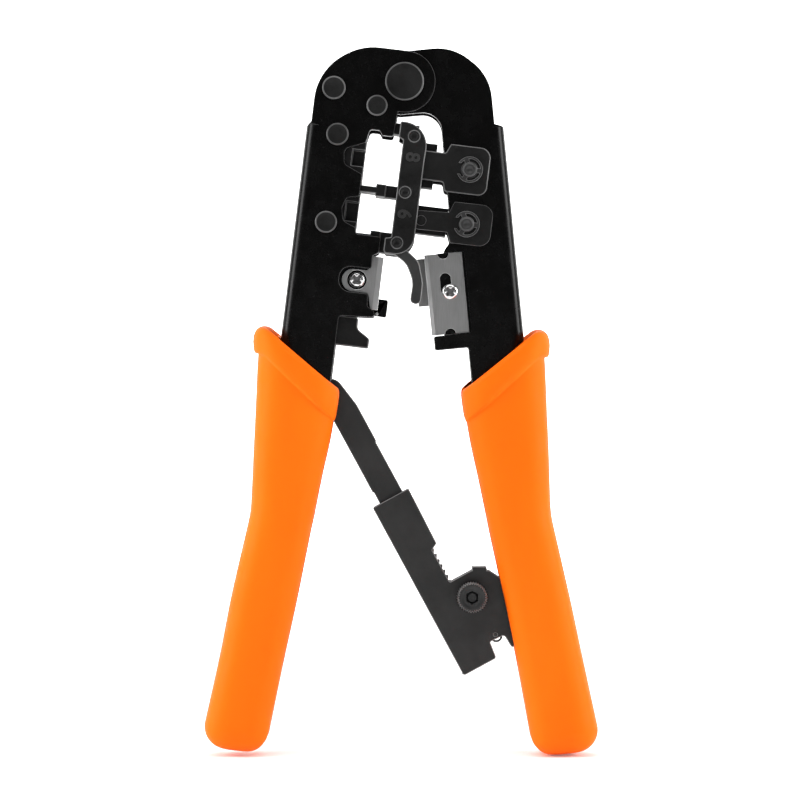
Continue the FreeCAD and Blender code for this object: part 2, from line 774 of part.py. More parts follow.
def make_left_handle():
    save("left_frame", left_placed(left_frame()))
    save("left_grip", left_placed(grip(LEFT_SECTIONS, -1, WEB_X, OUTER_HALF, SLOT_HALF)))
    save("die_block", left_placed(die_block()))
    front = bridge()
    rear = front.mirror(V(0, 0, 0), V(0, 1, 0))
    stop = plate(WIRE_STOP, -BRIDGE_OUT + 0.4, -BRIDGE_IN - 0.3)
    save("guide_bridge_front", left_placed(front.cut(stop)))
    save("guide_bridge_rear", left_placed(rear))
    save("bridge_posts", [left_placed(post) for post in posts()])
    save("wire_stop", left_placed(stop.cut(rod(*POSTS[2], POST_RADIUS, -20, 20))))
    save("pivot_rivet", headed(0, 0, PIVOT_HEAD, PIVOT_SHANK, OUTER_HALF))
    save("pivot_spacer", tube(0, 0, 5.6, PIVOT_SHANK, CORE_HALF + 0.15))
    rivets = [headed(x, z, head, RIVET_SHANK, OUTER_HALF) for x, z, head in FRAME_RIVETS]
    save("frame_rivets", [left_placed(rivet) for rivet in rivets])
    tubes = [
        tube(x, z, radius, RIVET_SHANK, OUTER_HALF - SHEET)
        for (x, z, head), radius in zip(FRAME_RIVETS, SPACER_RADII)
    ]
    save("rivet_spacers", [left_placed(piece) for piece in tubes])
    save("return_spring", left_placed(return_spring()))
    hole = rod(-6.6, -57.2, 1.25, -20, 20)
    holder = block(-14.0, -2.2, LEFT_BLADE_Y + BLADE_THICK, CORE_HALF, -66.6, -50.2)
    save("blade_holder_left", left_placed(holder.cut(hole)))
    save("left_blade", left_placed(left_blade()))
    save("left_blade_screw", left_placed(screw(-6.6, -57.2, LEFT_BLADE_Y + BLADE_THICK, -1, 8)))
    save("strip_anvil", left_placed(plate(STRIP_ANVIL, -6.15, 6.15)))
    gauge = plate(WIRE_GAUGE, -3.8, 3.4).cut(holder).cut(rod(0.2, -66.0, 0.45, -20, 20))
    save("wire_gauge", left_placed(gauge))
    save("gauge_pin", left_placed(rod(0.2, -66.0, 0.45, -4.1, 3.6)))
    save("ratchet_bar_pin", rod(*BAR_HINGE, SMALL_PIN, -OUTER_HALF, OUTER_HALF))


def make_right_handle():
    save("right_frame", right_placed(right_frame()))
    save("right_grip", right_placed(grip(RIGHT_SECTIONS, 1, RIGHT_WEB_X, INNER_HALF, INNER_HALF - 0.05)))
    holder = block(4.4, 20.0, CUTTER_Y + BLADE_THICK, REAR_BLADE_Y, -72.3, -49.2)
    holder = holder.cut(rod(7.15, -60.3, 1.25, -20, 20)).cut(rod(7.15, -56.0, 1.25, 0, 20))
    save("blade_holder_right", right_placed(holder))
    save("cutter_blade", right_placed(cutter_blade()))
    save("cutter_screw", right_placed(screw(7.15, -60.3, CUTTER_Y, -1, 4)))
    rear = block(-2.0, 8.8, REAR_BLADE_Y, REAR_BLADE_Y + BLADE_THICK, -63.5, -49.9)
    rear = rear.cut(rod(7.15, -56.0, 1.25, -20, 20))
    save("rear_blade", right_placed(rear))
    save("rear_blade_screw", right_placed(screw(7.15, -56.0, REAR_BLADE_Y + BLADE_THICK, 1, 4)))
    pins = [ram_pin(*point) for point in (PIN_8, PIN_6)]
    save("ram_pins", [left_placed(pin) for pin in pins])
    clips = []
    for point in (PIN_8, PIN_6):
        clips += both_sides(clip(*point, -8.7, -8.2))
    save("ram_clips", [left_placed(piece) for piece in clips])
    save("housing_pin", right_placed(rod(*housing_hinge_local(), SMALL_PIN, -INNER_HALF, INNER_HALF)))


def make_rams():
    save("link_8p", [left_placed(side) for side in link(LINK_8, PIN_8, QUILL_8)])
    save("link_6p", [left_placed(side) for side in link(LINK_6, PIN_6, QUILL_6)])
    for name, quill in (("punch_pin_8p", QUILL_8), ("punch_pin_6p", QUILL_6)):
        save(name, left_placed(rod(*quill, PUNCH_PIN, -LINK_OUT + 0.2, LINK_OUT - 0.2)))
    save("punch_8p", left_placed(punch(3.1, 11.5, -28.9, -16.2, None, QUILL_8, 8)))
    save("punch_6p", left_placed(punch(6.7, 16.8, -42.0, -34.0, None, QUILL_6, 6)))


def make_ratchet():
    save("ratchet_bar", ratchet_bar())
    save("ratchet_housing", housing_placed(ratchet_housing()))
    save("release_knob", housing_placed(release_knob()))
    save("pawl", housing_placed(pawl()))
    save("pawl_spring", [housing_placed(piece) for piece in pawl_spring()])
    anchor = rod(*ANCHOR, ANCHOR_RADIUS, -HOUSING_OUT - 0.3, HOUSING_OUT + 0.3)
    save("spring_anchor", housing_placed(anchor))


os.makedirs("parts", exist_ok=True)
make_left_handle()
make_right_handle()
make_rams()
make_ratchet()
ORIGIN = origin_under_tool()
for node, shape in PIECES.items():
    shape.translate(-ORIGIN)
    shape.exportStep("parts/" + node + ".step")
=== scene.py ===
import json
import math

import bmesh
import bpy
from mathutils import Euler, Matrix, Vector


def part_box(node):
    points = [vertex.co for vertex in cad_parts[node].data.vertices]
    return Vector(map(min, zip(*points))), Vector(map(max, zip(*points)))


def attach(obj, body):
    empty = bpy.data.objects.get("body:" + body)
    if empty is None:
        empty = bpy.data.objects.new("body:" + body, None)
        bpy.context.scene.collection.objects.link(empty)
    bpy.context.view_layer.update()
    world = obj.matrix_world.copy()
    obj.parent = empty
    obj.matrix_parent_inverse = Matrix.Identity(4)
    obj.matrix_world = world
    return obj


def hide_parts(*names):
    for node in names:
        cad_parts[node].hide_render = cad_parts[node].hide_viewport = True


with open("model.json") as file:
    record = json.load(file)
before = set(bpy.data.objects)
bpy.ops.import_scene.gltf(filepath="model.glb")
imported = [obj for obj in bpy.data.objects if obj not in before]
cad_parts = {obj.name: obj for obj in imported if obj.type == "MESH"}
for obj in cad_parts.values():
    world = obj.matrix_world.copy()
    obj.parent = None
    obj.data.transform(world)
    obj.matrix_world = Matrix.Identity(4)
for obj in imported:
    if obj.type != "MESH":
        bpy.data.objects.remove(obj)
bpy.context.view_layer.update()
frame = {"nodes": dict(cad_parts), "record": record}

MM = 0.001

# Driving sizes, in millimetres and degrees, from the CAD model
LEFT_LEAN = 7.0  # how far each handle leans about the pivot in its open position
RIGHT_LEAN = -5.5
GRIP_DEPTH = 11.2  # half depth of the grips
COLLAR_STEP = 1.6  # how far the collar stands out at the outer wall
BRIDGE_FACE = -10.4  # depth of the front bridge's face
CHEEK_FACE = 8.2  # distance from the middle plane to the cheeks' outer faces
HEAD_FACE = 9.1  # and to the faces of the rivets


def middle_of(node):
    """Middle of a CAD node's box, in metres."""
    low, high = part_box(node)
    return (Vector(low) + Vector(high)) / 2


PIVOT = middle_of("pivot_rivet")


# ---------------------------------------------------------------- materials


def bare_material(name):
    """New material, with its nodes, its links and its shader."""
    material = bpy.data.materials.new(name)
    material.use_nodes = True
    nodes = material.node_tree.nodes
    return material, nodes, material.node_tree.links, nodes["Principled BSDF"]


def object_place(nodes, links, stretch=(1, 1, 1), turn=0.0):
    """Object coordinates, stretched per axis and turned about the tool's depth axis."""
    place = nodes.new("ShaderNodeTexCoord")
    mapping = nodes.new("ShaderNodeMapping")
    mapping.inputs["Scale"].default_value = stretch
    mapping.inputs["Rotation"].default_value = (0, turn, 0)
    links.new(place.outputs["Object"], mapping.inputs["Vector"])
    return mapping.outputs["Vector"]


def noise(nodes, links, place, scale, detail=3.0, roughness=0.5):
    """Fractal noise; a higher detail adds finer steps."""
    texture = nodes.new("ShaderNodeTexNoise")
    texture.inputs["Scale"].default_value = scale
    texture.inputs["Detail"].default_value = detail
    texture.inputs["Roughness"].default_value = roughness
    links.new(place, texture.inputs["Vector"])
    return texture.outputs["Fac"]


def ramp(nodes, links, factor, low, high):
    """Blend of two colours across the middle of a noise's range."""
    blend = nodes.new("ShaderNodeValToRGB")
    for element, position, colour in zip(blend.color_ramp.elements, (0.35, 0.65), (low, high)):
        element.position = position
        element.color = colour
    links.new(factor, blend.inputs["Fac"])
    return blend.outputs["Color"]


def grey(value):
    return (value, value, value, 1)


def tinted(nodes, links, shader, factor, socket, low, high):
    """Lets one of the shader's sockets wander between two values with a noise."""
    links.new(ramp(nodes, links, factor, low, high), shader.inputs[socket])


def bumped(nodes, links, height, distance, strength):
    """Normal for a relief of the given depth in metres."""
    bump = nodes.new("ShaderNodeBump")
    bump.inputs["Distance"].default_value = distance
    bump.inputs["Strength"].default_value = strength
    links.new(height, bump.inputs["Height"])
    return bump.outputs["Normal"]


def coated_steel(name, dark, light, rough, grain, depth, specular):
    """Painted or cast surface: mottled tone, uneven gloss and a fine grain of the given depth."""
    material, nodes, links, shader = bare_material(name)
    place = object_place(nodes, links)
    cloud = noise(nodes, links, place, 90, 4)
    tinted(nodes, links, shader, cloud, "Base Color", grey(dark), grey(light))
    smear = noise(nodes, links, place, 260, 5, 0.6)
    tinted(nodes, links, shader, smear, "Roughness", grey(rough[0]), grey(rough[1]))
    shader.inputs["Specular IOR Level"].default_value = specular
    fine = noise(nodes, links, place, grain, 2)
    links.new(bumped(nodes, links, fine, depth, 0.6), shader.inputs["Normal"])
    return material


def ground_metal(name, tone, rough, stretch, turn=0.0):
    """Bare metal with straight grinding lines, or with fine pits where stretch is even."""
    material, nodes, links, shader = bare_material(name)
    shader.inputs["Metallic"].default_value = 1.0
    place = object_place(nodes, links, stretch, turn)
    lines = noise(nodes, links, place, 1.0, 6, 0.7)
    tinted(nodes, links, shader, lines, "Base Color", grey(tone * 0.82), grey(tone))
    tinted(nodes, links, shader, lines, "Roughness", grey(rough[0]), grey(rough[1]))
    links.new(bumped(nodes, links, lines, 0.00002, 0.5), shader.inputs["Normal"])
    return material


def moulded_plastic(name):
    """Orange grip plastic with a fine spark-eroded texture and faint flow marks."""
    material, nodes, links, shader = bare_material(name)
    place = object_place(nodes, links)
    flow = noise(nodes, links, object_place(nodes, links, (40, 40, 14)), 1.0, 3)
    tinted(nodes, links, shader, flow, "Base Color", (0.94, 0.136, 0.0022, 1), (0.99, 0.154, 0.0032, 1))
    patches = noise(nodes, links, place, 180, 4, 0.6)
    tinted(nodes, links, shader, patches, "Roughness", grey(0.50), grey(0.62))
    texture = noise(nodes, links, place, 2600, 2)
    links.new(bumped(nodes, links, texture, 0.00004, 0.30), shader.inputs["Normal"])
    shader.inputs["Specular IOR Level"].default_value = 0.07
    shader.inputs["Subsurface Weight"].default_value = 0.08
    shader.inputs["Subsurface Radius"].default_value = (0.003, 0.0012, 0.0004)
    return material


RIGHT_TURN = math.radians(-RIGHT_LEAN)  # the blades are ground along the right handle

# Darkest and lightest tone, range of roughness, scale and depth of the grain, gloss
BLACK = coated_steel("black_paint", 0.0008, 0.0016, (0.22, 0.30), 2300, 0.00002, 0.13)
# The edge tone is lighter than the face: slight wear and a painted highlight on the rounded edges.
BLACK_WEAR_AND_HIGHLIGHT = coated_steel("black_paint_wear_and_highlight_edge", 0.016, 0.032, (0.34, 0.44), 2300, 0.00002, 0.3)
CAST = coated_steel("cast_grey", 0.0012, 0.0060, (0.38, 0.58), 1300, 0.00018, 0.18)
# Lighter edge tone of the cast parts: slight wear and a painted highlight on the rounded edges.
CAST_WEAR_AND_HIGHLIGHT = coated_steel("cast_grey_wear_and_highlight_edge", 0.06, 0.15, (0.36, 0.5), 1300, 0.00012, 0.3)
# Numerals painted lighter than the bridge: a painted highlight on the relief.
RELIEF_HIGHLIGHT = coated_steel("cast_relief_highlight", 0.008, 0.022, (0.36, 0.5), 1300, 0.00012, 0.3)
RATCHET = coated_steel("ratchet_grey", 0.010, 0.017, (0.40, 0.55), 1900, 0.00006, 0.34)
# Lighter edge tone of the ratchet parts: slight wear and a painted highlight on the rounded edges.
RATCHET_WEAR_AND_HIGHLIGHT = coated_steel("ratchet_wear_and_highlight_edge", 0.14, 0.22, (0.36, 0.46), 1900, 0.00003, 0.3)
RIVET = coated_steel("rivet_face", 0.0012, 0.0075, (0.36, 0.52), 1500, 0.00016, 0.20)
# Lighter rim tone of rivets and pin ends: a painted highlight on the rounded rims.
RIVET_RIM_HIGHLIGHT = coated_steel("rivet_rim", 0.022, 0.085, (0.28, 0.42), 700, 0.00003, 0.5)
PIN_FACE = coated_steel("turned_pin_end", 0.005, 0.034, (0.34, 0.48), 900, 0.00008, 0.4)
CLIP = coated_steel("clip_steel", 0.010, 0.020, (0.34, 0.46), 1500, 0.00003, 0.4)
# Lighter edge tone: on the clips' edges slight wear and a painted highlight, on the knob's chamfer a painted
# highlight.
CLIP_WEAR_AND_HIGHLIGHT = coated_steel("clip_steel_wear_and_highlight_edge", 0.07, 0.13, (0.30, 0.40), 1500, 0.00003, 0.4)
DARK_WIRE = coated_steel("dark_wire", 0.006, 0.020, (0.30, 0.42), 1500, 0.00003, 0.5)

# Tone, range of roughness, and how tight the lines are along each axis
BLADE = ground_metal("blade_steel", 0.30, (0.34, 0.46), (9000, 900, 240), RIGHT_TURN)
BEVEL_STEEL = ground_metal("blade_bevel", 0.85, (0.28, 0.38), (500, 500, 6000), RIGHT_TURN)
NICKEL = ground_metal("nickel", 0.80, (0.14, 0.24), (700, 700, 700))
# The screws' crossed recess is painted darker than the head: painted shade in the hollow.
RECESS_SHADE = ground_metal("screw_recess_shade", 0.16, (0.30, 0.45), (1200, 1200, 1200))
WIRE = ground_metal("spring_wire", 0.42, (0.24, 0.36), (2500, 2500, 2500))

ORANGE = moulded_plastic("orange_plastic")

# Material of the faces, material of the rounded edges (lighter: slight wear and a painted highlight), and
# width of those edges
FINISHES = {
    "black_steel": (BLACK, BLACK_WEAR_AND_HIGHLIGHT, 0.18),
    "cast_grey": (CAST, CAST_WEAR_AND_HIGHLIGHT, 0.30),
    "ratchet_grey": (RATCHET, RATCHET_WEAR_AND_HIGHLIGHT, 0.24),
    "rivet_steel": (RIVET, RIVET_RIM_HIGHLIGHT, 0.12),
    "blade_steel": (BLADE, BEVEL_STEEL, 0.05),
    "bright_steel": (NICKEL, NICKEL, 0.05),
    "spring_steel": (WIRE, WIRE, 0.0),
    "clips": (CLIP, CLIP_WEAR_AND_HIGHLIGHT, 0.14),
    "posts": (CAST, CLIP, 0.12),
    "dark_wire": (DARK_WIRE, DARK_WIRE, 0.0),
}

# These nodes go without the clamp on overlaps, which shrinks rounded edges beside tiny faces.
# Without it a thin spike grows at a frame's shoulder. right_frame keeps the clamp for that reason;
# left_frame doesn't, and still has a spike 2 mm long there.
UNCLAMPED = {"left_frame", "guide_bridge_front", "guide_bridge_rear", "ratchet_housing", "wire_stop"}

# Nodes whose finish differs from the usual one of their slot in the record
OWN_FINISH = {
    "ram_clips": "clips",
    "bridge_posts": "posts",
    "punch_pin_8p": "posts",
    "punch_pin_6p": "posts",
    "pawl_spring": "dark_wire",
    "spring_anchor": "dark_wire",
}

WELD_REACH = 0.003  # the frame's faces arrive with separate corners
FLAT_ANGLE = math.radians(1.0)  # faces that differ by less are joined
SHARP_ANGLE = math.radians(38)  # edges sharper than this are rounded


def finish_node(name, slot_name):
    """Gives a CAD node its material, and rounds its sharp edges with a lighter tone: slight wear and a
    painted edge highlight.
    """
    node = frame["nodes"][name]
    base, edge, width = FINISHES[slot_name]
    node.data.materials.clear()
    node.data.materials.append(base)
    node.data.materials.append(edge)
    if width:
        joint = node.modifiers.new("joined_faces", "WELD")
        joint.merge_threshold = WELD_REACH * MM
        flat = node.modifiers.new("flat_faces", "DECIMATE")
        flat.decimate_type = "DISSOLVE"
        flat.angle_limit = FLAT_ANGLE
        rounding = node.modifiers.new("worn_and_highlighted_edges", "BEVEL")
        rounding.width = width * MM
        rounding.segments = 2
        rounding.limit_method = "ANGLE"
        rounding.angle_limit = SHARP_ANGLE
        rounding.use_clamp_overlap = name not in UNCLAMPED
        # The rounded edges take the lighter material, a painted highlight with slight wear.
        rounding.material = 1
    smooth = node.modifiers.new("normals", "WEIGHTED_NORMAL")
    smooth.keep_sharp = True
    smooth.weight = 60


# ---------------------------------------------------------------- mesh helpers


def leaned(point, lean):
    """A point (x, y, z) in a handle's own plane, in millimetres, to the shared frame in metres."""
    angle = math.radians(lean)
    x, y, z = point
    turned = (x * math.cos(angle) + z * math.sin(angle), y, -x * math.sin(angle) + z * math.cos(angle))
    return PIVOT + Vector(turned) * MM


def add_piece(name, mesh, body):
    """Puts a mesh in the scene as a piece that rides on a body."""
    piece = bpy.data.objects.new(name, mesh)
    bpy.context.scene.collection.objects.link(piece)
    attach(piece, body)
    return piece


def skin(name, rings, materials, second_rows=()):
    """Mesh over closed rings of points, each joined to the next and capped at both ends.

    The rows of faces listed in second_rows take the second material; row -1 is the last cap.
    """
    builder = bmesh.new()
    loops = [[builder.verts.new(point) for point in ring] for ring in rings]
    count = len(loops[0])
    for row, (lower, upper) in enumerate(zip(loops, loops[1:])):
        for i in range(count):
            j = (i + 1) % count
            face = builder.faces.new((lower[i], lower[j], upper[j], upper[i]))
            face.material_index = 1 if row in second_rows else 0
    builder.faces.new(list(reversed(loops[0])))
    last = builder.faces.new(loops[-1])
    last.material_index = 1 if -1 in second_rows else 0
    bmesh.ops.recalc_face_normals(builder, faces=builder.faces)
    mesh = bpy.data.meshes.new(name)
    builder.to_mesh(mesh)
    builder.free()
    for face in mesh.polygons:
        face.use_smooth = True
    for material in materials:
        mesh.materials.append(material)
    return mesh


def smooth_table(rows):
    """Cubic curve through (position, value, ...) rows, as a function that returns the values."""
    rows = sorted(rows)

    def slope(i, column):
        low, high = max(i - 1, 0), min(i + 1, len(rows) - 1)
        return (rows[high][column] - rows[low][column]) / (rows[high][0] - rows[low][0])

    def value(at):
        at = min(max(at, rows[0][0]), rows[-1][0])
        i = 0
        while i < len(rows) - 2 and at > rows[i + 1][0]:
            i += 1
        span = rows[i + 1][0] - rows[i][0]
        t = (at - rows[i][0]) / span
        found = []
        for column in range(1, len(rows[0])):
            leaving = slope(i, column) * span
            arriving = slope(i + 1, column) * span
            curve = (2 * t**3 - 3 * t**2 + 1) * rows[i][column] + (t**3 - 2 * t**2 + t) * leaving
            curve += (-2 * t**3 + 3 * t**2) * rows[i + 1][column] + (t**3 - t**2) * arriving
            found.append(curve)
        return found

    return value


# ---------------------------------------------------------------- grips

# Height, distance of the outer wall and of the inner wall from the handle's own centre plane
LEFT_WALLS = (
    (-60, 32.6, 7.4),
    (-82, 32.1, 7.5),
    (-98, 30.8, 8.0),
    (-112, 29.7, 9.1),
    (-122, 28.9, 9.8),
    (-126, 28.7, 10.1),
    (-129, 28.9, 10.4),
    (-150, 31.1, 12.0),
    (-167, 32.3, 13.6),
    (-188, 34.3, 15.3),
)
RIGHT_WALLS = (
    (-60, 32.8, 7.4),
    (-82, 32.3, 7.6),
    (-98, 31.4, 8.3),
    (-112, 30.6, 9.6),
    (-122, 29.9, 10.6),
    (-126, 29.8, 11.0),
    (-129, 30.1, 11.3),
    (-150, 32.8, 13.8),
    (-165, 34.5, 15.4),
    (-188, 37.2, 17.4),
)

AROUND = 84  # points round the outside of one ring
LENGTH_RINGS = 56  # rings below the collar
END_RINGS = 14  # rings of the rounded end
SQUARENESS = 3.0  # 2 would make the section an ellipse
INNER_GROWTH = 0.3  # shares of the collar's step on the inner side and on the faces
FACE_GROWTH = 0.85
LEFT_SLOT = 6.2  # half widths of the slots on the inner sides
RIGHT_SLOT = 5.9
SLOT_SHARES = (0.12, 0.5, 1.0)  # points down each side of the slot
SLOT_SHUT = 0.02  # depth of the slot where it is closed
SLOT_WALL = 6.5  # plastic left behind the open slot
SLOT_END = -168.0  # the slot is closed below here
SLOT_FADE = 14  # height over which it closes
ROUND_START = -187.4  # the closed end is rounded from here
ROUND_END = -193.9
END_RADIUS = 6.5
COLLAR_SLOPE = math.tan(math.radians(33.5))  # the mouth falls towards the tool's middle
COLLAR_EDGE = 32.5  # the collar's two heights hold at this distance from the centre plane
COLLAR_TOP = -71.9
COLLAR_LOW = -79.3
LOW_SLANT = 1.12  # the collar grows wider towards the middle
SLANT_FADE = 2.2  # how fast, and along which curve, the rings level out below the collar
SLANT_CURVE = 1.5
HALF_WIDTH = 12  # from the outer wall to the middle of a section
CREST = 29.0  # the mouth rolls over outside this distance
CREST_RADIUS = 3.4
REAR_LIFT = 0.05  # the mouth rises towards the rear


def signed_power(value, power):
    """Power of a number's size, with the number's own sign."""
    return math.copysign(abs(value) ** power, value)


def squared_ring(outer, inner, depth, slot_half, slot_depth, grow):
    """Points (x, y) of one section. x grows outward from the centre plane; the slot is on the inner side."""
    outer = outer + grow
    inner = inner - grow * INNER_GROWTH
    middle = (outer + inner) / 2
    half = (outer - inner) / 2
    deep = depth + grow * FACE_GROWTH
    slot_angle = math.asin(min(0.98, (slot_half / deep) ** (SQUARENESS / 2)))
    points = []
    for i in range(AROUND):
        angle = -math.pi + slot_angle + (2 * math.pi - 2 * slot_angle) * i / (AROUND - 1)
        x = middle + half * signed_power(math.cos(angle), 2 / SQUARENESS)
        y = deep * signed_power(math.sin(angle), 2 / SQUARENESS)
        points.append((x, y))
    mouth = points[0][0]
    for share in SLOT_SHARES:
        points.append((mouth + slot_depth * share, slot_half))
    for share in reversed(SLOT_SHARES):
        points.append((mouth + slot_depth * share, -slot_half))
    return points


def grip_ring(wall_at, height, grow, slant, side, lean, slot_half, shrink):
    """One ring. slant is the share of the collar's slope that the ring keeps; shrink draws in the end."""
    low = max(height, ROUND_START)
    outer, inner = wall_at(low - COLLAR_SLOPE * slant * HALF_WIDTH)
    outer_top = wall_at(low)[0]
    outer = (outer + outer_top) / 2
    middle = (outer + inner) / 2
    outer = middle + (outer - middle) * shrink
    inner = middle + (inner - middle) * shrink
    depth = GRIP_DEPTH * shrink
    opening = min(1.0, max(0.0, (height - SLOT_END) / SLOT_FADE))
    slot_depth = SLOT_SHUT + (outer - inner - SLOT_WALL) * opening
    ring = squared_ring(outer, inner, depth, min(slot_half, depth * 0.6), slot_depth, grow)
    points = []
    for x, y in ring:
        roll = max(0.0, x - CREST) ** 2 / (2 * CREST_RADIUS)
        drop = COLLAR_SLOPE * (COLLAR_EDGE - x) + roll - REAR_LIFT * y
        points.append(leaned((side * x, y, height - drop * slant), lean))
    return points


def grip(name, walls, side, lean, node, body, slot_half):
    """Moulded sleeve: rolled collar on a slanted mouth, square-round body, slotted inner side."""
    wall_at = smooth_table(walls)
    # Height, growth and share of the slope; the first rings roll over the lip into the mouth.
    rows = [
        (COLLAR_TOP - 1.6, -2.5, 1),
        (COLLAR_TOP - 1.5, -1.9, 1),
        (COLLAR_TOP - 0.7, -1.7, 1),
        (COLLAR_TOP - 0.2, -1.2, 1),
        (COLLAR_TOP, -0.5, 1),
        (COLLAR_TOP, 0.2, 1),
        (COLLAR_TOP - 0.3, 0.9, 1),
        (COLLAR_TOP - 0.9, COLLAR_STEP - 0.25, 1),
        (COLLAR_TOP - 1.8, COLLAR_STEP, 1),
        (COLLAR_TOP - 3.6, COLLAR_STEP + 0.05, 1),
        (COLLAR_LOW + 3.4, COLLAR_STEP - 0.05, LOW_SLANT),
        (COLLAR_LOW + 2.2, COLLAR_STEP - 0.16, LOW_SLANT),
        (COLLAR_LOW + 1.1, COLLAR_STEP - 0.4, LOW_SLANT),
        (COLLAR_LOW + 0.35, 0.85, LOW_SLANT),
        (COLLAR_LOW, 0.06, LOW_SLANT),
        (COLLAR_LOW - 0.4, 0.0, LOW_SLANT),
    ]
    start = rows[-1][0]
    for i in range(1, LENGTH_RINGS + 1):
        share = i / LENGTH_RINGS
        slant = LOW_SLANT * max(0.0, 1 - share * SLANT_FADE) ** SLANT_CURVE
        rows.append((start + (ROUND_START - start) * share, 0.0, slant))
    rings = []
    for height, grow, slant in rows:
        rings.append(grip_ring(wall_at, height, grow, slant, side, lean, slot_half, 1.0))
    half = (walls[-1][1] - walls[-1][2]) / 2
    for i in range(1, END_RINGS + 1):
        angle = i / END_RINGS * math.pi / 2
        height = ROUND_START + (ROUND_END - ROUND_START) * math.sin(angle)
        shrink = 1 - END_RADIUS / half * (1 - math.cos(angle))
        rings.append(grip_ring(wall_at, height, 0.0, 0.0, side, lean, slot_half, shrink))
    piece = add_piece(name, skin(name, rings, [ORANGE]), body)
    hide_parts(node)


# ---------------------------------------------------------------- screws, rivets, pins and the knob

SCREW_POINTS = 96  # points round each of a screw's rings
SCREW_HEAD = 2.35  # radii
SCREW_SHANK = 1.25
RECESS_WIDTH = 0.46  # half width and length of the arms of the crossed recess
RECESS_LENGTH = 1.45

# Axis in its handle's own plane, with the depth of the face that the head rests on
LEFT_SCREW = (-6.6, -5.2, -57.2)
CUTTER_SCREW = (7.15, -5.0, -60.3)
REAR_SCREW = (7.15, 4.95, -56.0)


def turned_rings(rings, place, direction, lean, twist=0.0):
    """Rings of (radius, rise) round an axis that runs from front to rear through place."""
    x0, seat, z0 = place
    shaped = []
    for ring in rings:
        points = []
        for i, (radius, rise) in enumerate(ring):
            angle = 2 * math.pi * i / len(ring) + twist
            spot = (x0 + radius * math.cos(angle), seat + direction * rise, z0 + radius * math.sin(angle))
            points.append(leaned(spot, lean))
        shaped.append(points)
    return shaped


def cross_radius(angle, width, length):
    """Distance to the outline of a crossed recess with four arms of a given half width and length."""
    local = (angle + math.pi / 4) % (math.pi / 2) - math.pi / 4
    arm = min(length, width / max(abs(math.sin(local)), 1e-6))
    root = width * 1.75
    return max(arm, root)


def screw(name, node, body, lean, place, direction, length, twist):
    """Pan-head screw. direction -1 points the head to the front; place is (x, y of the seat, z)."""
    profile = [
        (SCREW_SHANK, -length),
        (SCREW_SHANK, 0.0),
        (SCREW_HEAD - 0.15, 0.0),
        (SCREW_HEAD, 0.15),
        (SCREW_HEAD, 0.55),
        (SCREW_HEAD - 0.12, 0.9),
        (SCREW_HEAD - 0.35, 1.2),
        (SCREW_HEAD - 0.65, 1.4),
    ]
    rings = [[row] * SCREW_POINTS for row in profile]
    for grow, rise in ((1.08, 1.49), (1.0, 1.44), (0.80, 1.0), (0.52, 0.55)):
        ring = []
        for i in range(SCREW_POINTS):
            angle = 2 * math.pi * i / SCREW_POINTS
            ring.append((cross_radius(angle, RECESS_WIDTH * grow, RECESS_LENGTH * grow), rise))
        rings.append(ring)
    # The recess's rows and its floor take the darker material, painted shade.
    inside = list(range(len(profile), len(rings))) + [-1]
    mesh = skin(name, turned_rings(rings, place, direction, lean, twist), [NICKEL, RECESS_SHADE], inside)
    piece = add_piece(name, mesh, body)
    piece.modifiers.new("normals", "WEIGHTED_NORMAL").keep_sharp = True
    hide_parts(node)


def turned_pin(name, half, around, place, lean, face, highlight_rows):
    """Turned piece that runs through the tool: half is its front profile, which the rear mirrors.

    The profile's rows listed in the last argument take the rim's lighter material, a painted highlight.
    """
    rings = [[(radius, -reach)] * around for radius, reach in half]
    rings += [[(radius, reach)] * around for radius, reach in reversed(half)]
    last_row = len(rings) - 2
    rims = list(highlight_rows) + [last_row - row for row in highlight_rows]
    return skin(name, turned_rings(rings, place, 1, lean), [face, RIVET_RIM_HIGHLIGHT], rims)


def rivet_mesh(name, place, head, shank, lean, dish):
    """Rivet with a low head on each side: a dark, slightly dished face inside a rim painted lighter as a
    highlight.
    """
    half = (
        (head * 0.45, HEAD_FACE - dish),
        (head - 0.75, HEAD_FACE - dish * 0.6),
        (head - 0.5, HEAD_FACE),
        (head - 0.22, HEAD_FACE - 0.02),
        (head - 0.04, HEAD_FACE - 0.22),
        (head, HEAD_FACE - 0.5),
        (head, CHEEK_FACE),
        (shank, CHEEK_FACE),
    )
    # Rows 2 and 3, the rounded rim, take the painted highlight.
    return turned_pin(name, half, 56, place, lean, RIVET, (2, 3))


def joined(name, meshes, body):
    """One piece from several meshes that share the same materials."""
    builder = bmesh.new()
    for mesh in meshes:
        builder.from_mesh(mesh)
    whole = bpy.data.meshes.new(name)
    builder.to_mesh(whole)
    builder.free()
    for face in whole.polygons:
        face.use_smooth = True
    for material in meshes[0].materials:
        whole.materials.append(material)
    for mesh in meshes:
        bpy.data.meshes.remove(mesh)
    piece = add_piece(name, whole, body)
    piece.modifiers.new("normals", "WEIGHTED_NORMAL").keep_sharp = True
    return piece


# Centre and head radius, in the left handle's own plane
FRAME_RIVETS = ((-19.6, -4.2, 3.35), (-6.9, -7.7, 3.0), (-17.0, -17.1, 3.2), (-17.2, -42.1, 3.15))
RIVET_SHANK = 1.8  # radii
PIVOT_SHANK = 4.0
PIVOT_HEAD = 5.5


